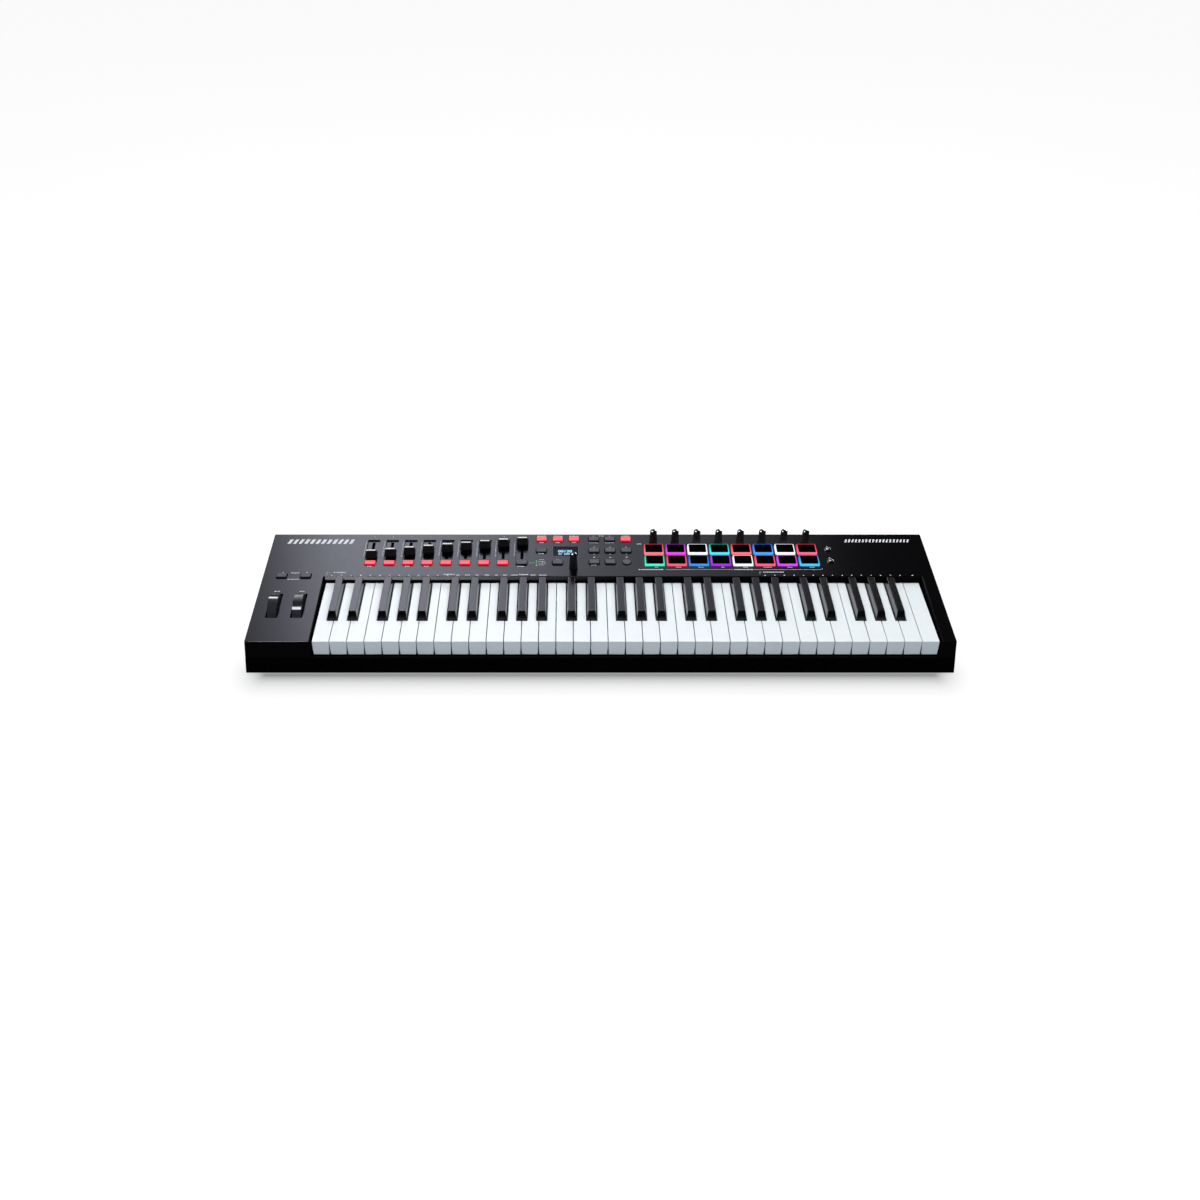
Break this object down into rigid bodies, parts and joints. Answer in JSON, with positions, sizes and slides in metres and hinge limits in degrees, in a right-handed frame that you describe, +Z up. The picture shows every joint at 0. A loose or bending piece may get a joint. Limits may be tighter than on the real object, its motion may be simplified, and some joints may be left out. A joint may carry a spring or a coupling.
{
  "type": "keyboard synthesizer",
  "caption": "Slim black electronic keyboard with piano-style keys, two side wheels, faders, knobs, lit pads, push buttons and a small display.",
  "frame": {"origin": "on the table, under the middle of the case's footprint", "axes": "+X to the player's right along the keys, +Y away from the player, +Z up"},
  "size_m": [0.963, 0.252, 0.0912],
  "materials": {
    "top_case_plastic": "satin dark grey, finely textured",
    "bottom_case_plastic": "black, finely textured",
    "white_key_plastic": "polished white",
    "black_key_plastic": "satin black",
    "control_plastic": "satin black",
    "knob_rubber": "soft-touch black",
    "keypad_rubber": "matt dark grey",
    "lit_keypad_rubber": "translucent, lit red from below",
    "foot_rubber": "matt black",
    "board": "green solder mask",
    "frame_steel": "folded sheet",
    "screen": "lit display",
    "lens": "clear window"
  },
  "bodies": {
    "case": {"bottom_case": "bottom_case_plastic", "top_case": "top_case_plastic", "key_bed_frame": "frame_steel", "key_contact_board": "board", "contact_rubber_strip": "keypad_rubber", "main_board": "board", "display_module": "screen", "display_lens": "lens", "wheel_bracket": "bottom_case_plastic", "usb_socket": "frame_steel", "midi_socket": "bottom_case_plastic", "pedal_jack_block": "bottom_case_plastic", "foot_front_left": "foot_rubber", "foot_front_right": "foot_rubber", "foot_back_left": "foot_rubber", "foot_back_right": "foot_rubber"},
    "pitch_wheel": {"pitch_wheel": "control_plastic"},
    "mod_wheel": {"mod_wheel": "control_plastic"},
    "octave_1_c_e_g_b_keys": {"octave_1_c_e_g_b_keys": "white_key_plastic"},
    "octave_1_d_f_a_keys": {"octave_1_d_f_a_keys": "white_key_plastic"},
    "octave_1_black_keys": {"octave_1_black_keys": "black_key_plastic"},
    "top_c_key": {"top_c_key": "white_key_plastic"},
    "fader_1": {"fader_1": "control_plastic"},
    "fader_5": {"fader_5": "control_plastic"},
    "fader_9": {"fader_9": "control_plastic"},
    "knob_1": {"knob_1": "knob_rubber"},
    "select_knob": {"select_knob": "knob_rubber"},
    "upper_pad_row": {"upper_pad_row": "keypad_rubber"},
    "lower_pad_row": {"lower_pad_row": "keypad_rubber"},
    "fader_buttons": {"fader_buttons": "lit_keypad_rubber"},
    "bank_buttons": {"bank_buttons": "lit_keypad_rubber"},
    "transport_buttons": {"transport_buttons": "keypad_rubber"},
    "octave_buttons": {"octave_buttons": "keypad_rubber"},
    "scene_buttons": {"scene_buttons": "keypad_rubber"},
    "power_switch": {"power_switch": "control_plastic"},
    "octave_3_c_e_g_b_keys": {"octave_3_c_e_g_b_keys": "white_key_plastic"},
    "octave_3_d_f_a_keys": {"octave_3_d_f_a_keys": "white_key_plastic"},
    "octave_3_black_keys": {"octave_3_black_keys": "black_key_plastic"},
    "octave_5_c_e_g_b_keys": {"octave_5_c_e_g_b_keys": "white_key_plastic"},
    "octave_5_d_f_a_keys": {"octave_5_d_f_a_keys": "white_key_plastic"},
    "octave_5_black_keys": {"octave_5_black_keys": "black_key_plastic"},
    "octave_2_c_e_g_b_keys": {"octave_2_c_e_g_b_keys": "white_key_plastic"},
    "octave_2_d_f_a_keys": {"octave_2_d_f_a_keys": "white_key_plastic"},
    "octave_2_black_keys": {"octave_2_black_keys": "black_key_plastic"},
    "octave_4_c_e_g_b_keys": {"octave_4_c_e_g_b_keys": "white_key_plastic"},
    "octave_4_d_f_a_keys": {"octave_4_d_f_a_keys": "white_key_plastic"},
    "octave_4_black_keys": {"octave_4_black_keys": "black_key_plastic"},
    "fader_2": {"fader_2": "control_plastic"},
    "fader_3": {"fader_3": "control_plastic"},
    "fader_4": {"fader_4": "control_plastic"},
    "fader_6": {"fader_6": "control_plastic"},
    "fader_7": {"fader_7": "control_plastic"},
    "fader_8": {"fader_8": "control_plastic"},
    "knob_2": {"knob_2": "knob_rubber"},
    "knob_3": {"knob_3": "knob_rubber"},
    "knob_4": {"knob_4": "knob_rubber"},
    "knob_5": {"knob_5": "knob_rubber"},
    "knob_6": {"knob_6": "knob_rubber"},
    "knob_7": {"knob_7": "knob_rubber"},
    "knob_8": {"knob_8": "knob_rubber"}
  },
  "joints": [
    {"name": "pitch_wheel_turn", "type": "hinge", "parent": "case", "child": "pitch_wheel", "pos_m": [-0.4502, -0.04599, 0.04279], "axis": [-1, 0, 0], "range_deg": [-30, 30], "stiffness_Nm_per_rad": 0.1},
    {"name": "mod_wheel_turn", "type": "hinge", "parent": "case", "child": "mod_wheel", "pos_m": [-0.416, -0.04599, 0.04279], "axis": [-1, 0, 0], "range_deg": [0, 72]},
    {"name": "octave_1_c_e_g_b_keys_press", "type": "hinge", "parent": "case", "child": "octave_1_c_e_g_b_keys", "pos_m": [-0.30675, 0.054, 0.036], "axis": [1, 0, 0], "range_deg": [0, 3.3], "stiffness_Nm_per_rad": 4},
    {"name": "octave_1_d_f_a_keys_press", "type": "hinge", "parent": "case", "child": "octave_1_d_f_a_keys", "pos_m": [-0.30675, 0.054, 0.0412], "axis": [1, 0, 0], "range_deg": [0, 3.3], "stiffness_Nm_per_rad": 4},
    {"name": "octave_1_black_keys_press", "type": "hinge", "parent": "case", "child": "octave_1_black_keys", "pos_m": [-0.30675, 0.054, 0.0464], "axis": [1, 0, 0], "range_deg": [0, 3.3], "stiffness_Nm_per_rad": 4},
    {"name": "top_c_key_press", "type": "hinge", "parent": "case", "child": "top_c_key", "pos_m": [0.44525, 0.054, 0.036], "axis": [1, 0, 0], "range_deg": [0, 3.3], "stiffness_Nm_per_rad": 1},
    {"name": "fader_1_slide", "type": "slide", "parent": "case", "child": "fader_1", "axis": [0, 0.9989, 0.0476], "range_m": [-0.0017, 0.0343]},
    {"name": "fader_5_slide", "type": "slide", "parent": "case", "child": "fader_5", "axis": [0, 0.9989, 0.0476], "range_m": [-0.0177, 0.0183]},
    {"name": "fader_9_slide", "type": "slide", "parent": "case", "child": "fader_9", "axis": [0, 0.9989, 0.0476], "range_m": [-0.0337, 0.0023]},
    {"name": "knob_1_turn", "type": "hinge", "parent": "case", "child": "knob_1", "pos_m": [0.0812, 0.10538, 0.06802], "axis": [0, 0.0476, -0.9989], "range_deg": [-140, 140]},
    {"name": "select_knob_turn", "type": "hinge", "parent": "case", "child": "select_knob", "pos_m": [-0.0359, 0.04245, 0.06502], "axis": [0, 0.0476, -0.9989], "continuous": true},
    {"name": "upper_pad_row_press", "type": "slide", "parent": "case", "child": "upper_pad_row", "axis": [0, 0.0476, -0.9989], "range_m": [0, 0.0008], "stiffness_N_per_m": 4000},
    {"name": "lower_pad_row_press", "type": "slide", "parent": "case", "child": "lower_pad_row", "axis": [0, 0.0476, -0.9989], "range_m": [0, 0.0008], "stiffness_N_per_m": 4000},
    {"name": "fader_buttons_press", "type": "slide", "parent": "case", "child": "fader_buttons", "axis": [0, 0.0476, -0.9989], "range_m": [0, 0.001], "stiffness_N_per_m": 2000},
    {"name": "bank_buttons_press", "type": "slide", "parent": "case", "child": "bank_buttons", "axis": [0, 0.0476, -0.9989], "range_m": [0, 0.001], "stiffness_N_per_m": 2000},
    {"name": "transport_buttons_press", "type": "slide", "parent": "case", "child": "transport_buttons", "axis": [0, 0.0476, -0.9989], "range_m": [0, 0.001], "stiffness_N_per_m": 2000},
    {"name": "octave_buttons_press", "type": "slide", "parent": "case", "child": "octave_buttons", "axis": [0, 0.0476, -0.9989], "range_m": [0, 0.001], "stiffness_N_per_m": 2000},
    {"name": "scene_buttons_press", "type": "slide", "parent": "case", "child": "scene_buttons", "axis": [0, 0.0476, -0.9989], "range_m": [0, 0.001], "stiffness_N_per_m": 2000},
    {"name": "power_switch_rock", "type": "hinge", "parent": "case", "child": "power_switch", "pos_m": [-0.42, 0.1244, 0.044], "axis": [0, 0, 1], "range_deg": [-16, 0]},
    {"name": "octave_3_c_e_g_b_keys_press", "type": "hinge", "parent": "case", "child": "octave_3_c_e_g_b_keys", "pos_m": [0.02225, 0.054, 0.036], "axis": [1, 0, 0], "range_deg": [0, 3.3], "stiffness_Nm_per_rad": 4},
    {"name": "octave_3_d_f_a_keys_press", "type": "hinge", "parent": "case", "child": "octave_3_d_f_a_keys", "pos_m": [0.02225, 0.054, 0.0412], "axis": [1, 0, 0], "range_deg": [0, 3.3], "stiffness_Nm_per_rad": 4},
    {"name": "octave_3_black_keys_press", "type": "hinge", "parent": "case", "child": "octave_3_black_keys", "pos_m": [0.02225, 0.054, 0.0464], "axis": [1, 0, 0], "range_deg": [0, 3.3], "stiffness_Nm_per_rad": 4},
    {"name": "octave_5_c_e_g_b_keys_press", "type": "hinge", "parent": "case", "child": "octave_5_c_e_g_b_keys", "pos_m": [0.35125, 0.054, 0.036], "axis": [1, 0, 0], "range_deg": [0, 3.3], "stiffness_Nm_per_rad": 4},
    {"name": "octave_5_d_f_a_keys_press", "type": "hinge", "parent": "case", "child": "octave_5_d_f_a_keys", "pos_m": [0.35125, 0.054, 0.0412], "axis": [1, 0, 0], "range_deg": [0, 3.3], "stiffness_Nm_per_rad": 4},
    {"name": "octave_5_black_keys_press", "type": "hinge", "parent": "case", "child": "octave_5_black_keys", "pos_m": [0.35125, 0.054, 0.0464], "axis": [1, 0, 0], "range_deg": [0, 3.3], "stiffness_Nm_per_rad": 4},
    {"name": "octave_2_c_e_g_b_keys_press", "type": "hinge", "parent": "case", "child": "octave_2_c_e_g_b_keys", "pos_m": [-0.14225, 0.054, 0.036], "axis": [1, 0, 0], "range_deg": [0, 3.3], "stiffness_Nm_per_rad": 4},
    {"name": "octave_2_d_f_a_keys_press", "type": "hinge", "parent": "case", "child": "octave_2_d_f_a_keys", "pos_m": [-0.14225, 0.054, 0.0412], "axis": [1, 0, 0], "range_deg": [0, 3.3], "stiffness_Nm_per_rad": 4},
    {"name": "octave_2_black_keys_press", "type": "hinge", "parent": "case", "child": "octave_2_black_keys", "pos_m": [-0.14225, 0.054, 0.0464], "axis": [1, 0, 0], "range_deg": [0, 3.3], "stiffness_Nm_per_rad": 4},
    {"name": "octave_4_c_e_g_b_keys_press", "type": "hinge", "parent": "case", "child": "octave_4_c_e_g_b_keys", "pos_m": [0.18675, 0.054, 0.036], "axis": [1, 0, 0], "range_deg": [0, 3.3], "stiffness_Nm_per_rad": 4},
    {"name": "octave_4_d_f_a_keys_press", "type": "hinge", "parent": "case", "child": "octave_4_d_f_a_keys", "pos_m": [0.18675, 0.054, 0.0412], "axis": [1, 0, 0], "range_deg": [0, 3.3], "stiffness_Nm_per_rad": 4},
    {"name": "octave_4_black_keys_press", "type": "hinge", "parent": "case", "child": "octave_4_black_keys", "pos_m": [0.18675, 0.054, 0.0464], "axis": [1, 0, 0], "range_deg": [0, 3.3], "stiffness_Nm_per_rad": 4},
    {"name": "fader_2_slide", "type": "slide", "parent": "case", "child": "fader_2", "axis": [0, 0.9989, 0.0476], "range_m": [-0.0057, 0.0303]},
    {"name": "fader_3_slide", "type": "slide", "parent": "case", "child": "fader_3", "axis": [0, 0.9989, 0.0476], "range_m": [-0.0097, 0.0263]},
    {"name": "fader_4_slide", "type": "slide", "parent": "case", "child": "fader_4", "axis": [0, 0.9989, 0.0476], "range_m": [-0.0137, 0.0223]},
    {"name": "fader_6_slide", "type": "slide", "parent": "case", "child": "fader_6", "axis": [0, 0.9989, 0.0476], "range_m": [-0.0217, 0.0143]},
    {"name": "fader_7_slide", "type": "slide", "parent": "case", "child": "fader_7", "axis": [0, 0.9989, 0.0476], "range_m": [-0.0257, 0.0103]},
    {"name": "fader_8_slide", "type": "slide", "parent": "case", "child": "fader_8", "axis": [0, 0.9989, 0.0476], "range_m": [-0.0297, 0.0063]},
    {"name": "knob_2_turn", "type": "hinge", "parent": "case", "child": "knob_2", "pos_m": [0.113, 0.10538, 0.06802], "axis": [0, 0.0476, -0.9989], "range_deg": [-140, 140]},
    {"name": "knob_3_turn", "type": "hinge", "parent": "case", "child": "knob_3", "pos_m": [0.1448, 0.10538, 0.06802], "axis": [0, 0.0476, -0.9989], "range_deg": [-140, 140]},
    {"name": "knob_4_turn", "type": "hinge", "parent": "case", "child": "knob_4", "pos_m": [0.1766, 0.10538, 0.06802], "axis": [0, 0.0476, -0.9989], "range_deg": [-140, 140]},
    {"name": "knob_5_turn", "type": "hinge", "parent": "case", "child": "knob_5", "pos_m": [0.2084, 0.10538, 0.06802], "axis": [0, 0.0476, -0.9989], "range_deg": [-140, 140]},
    {"name": "knob_6_turn", "type": "hinge", "parent": "case", "child": "knob_6", "pos_m": [0.2402, 0.10538, 0.06802], "axis": [0, 0.0476, -0.9989], "range_deg": [-140, 140]},
    {"name": "knob_7_turn", "type": "hinge", "parent": "case", "child": "knob_7", "pos_m": [0.272, 0.10538, 0.06802], "axis": [0, 0.0476, -0.9989], "range_deg": [-140, 140]},
    {"name": "knob_8_turn", "type": "hinge", "parent": "case", "child": "knob_8", "pos_m": [0.3038, 0.10538, 0.06802], "axis": [0, 0.0476, -0.9989], "range_deg": [-140, 140]}
  ]
}
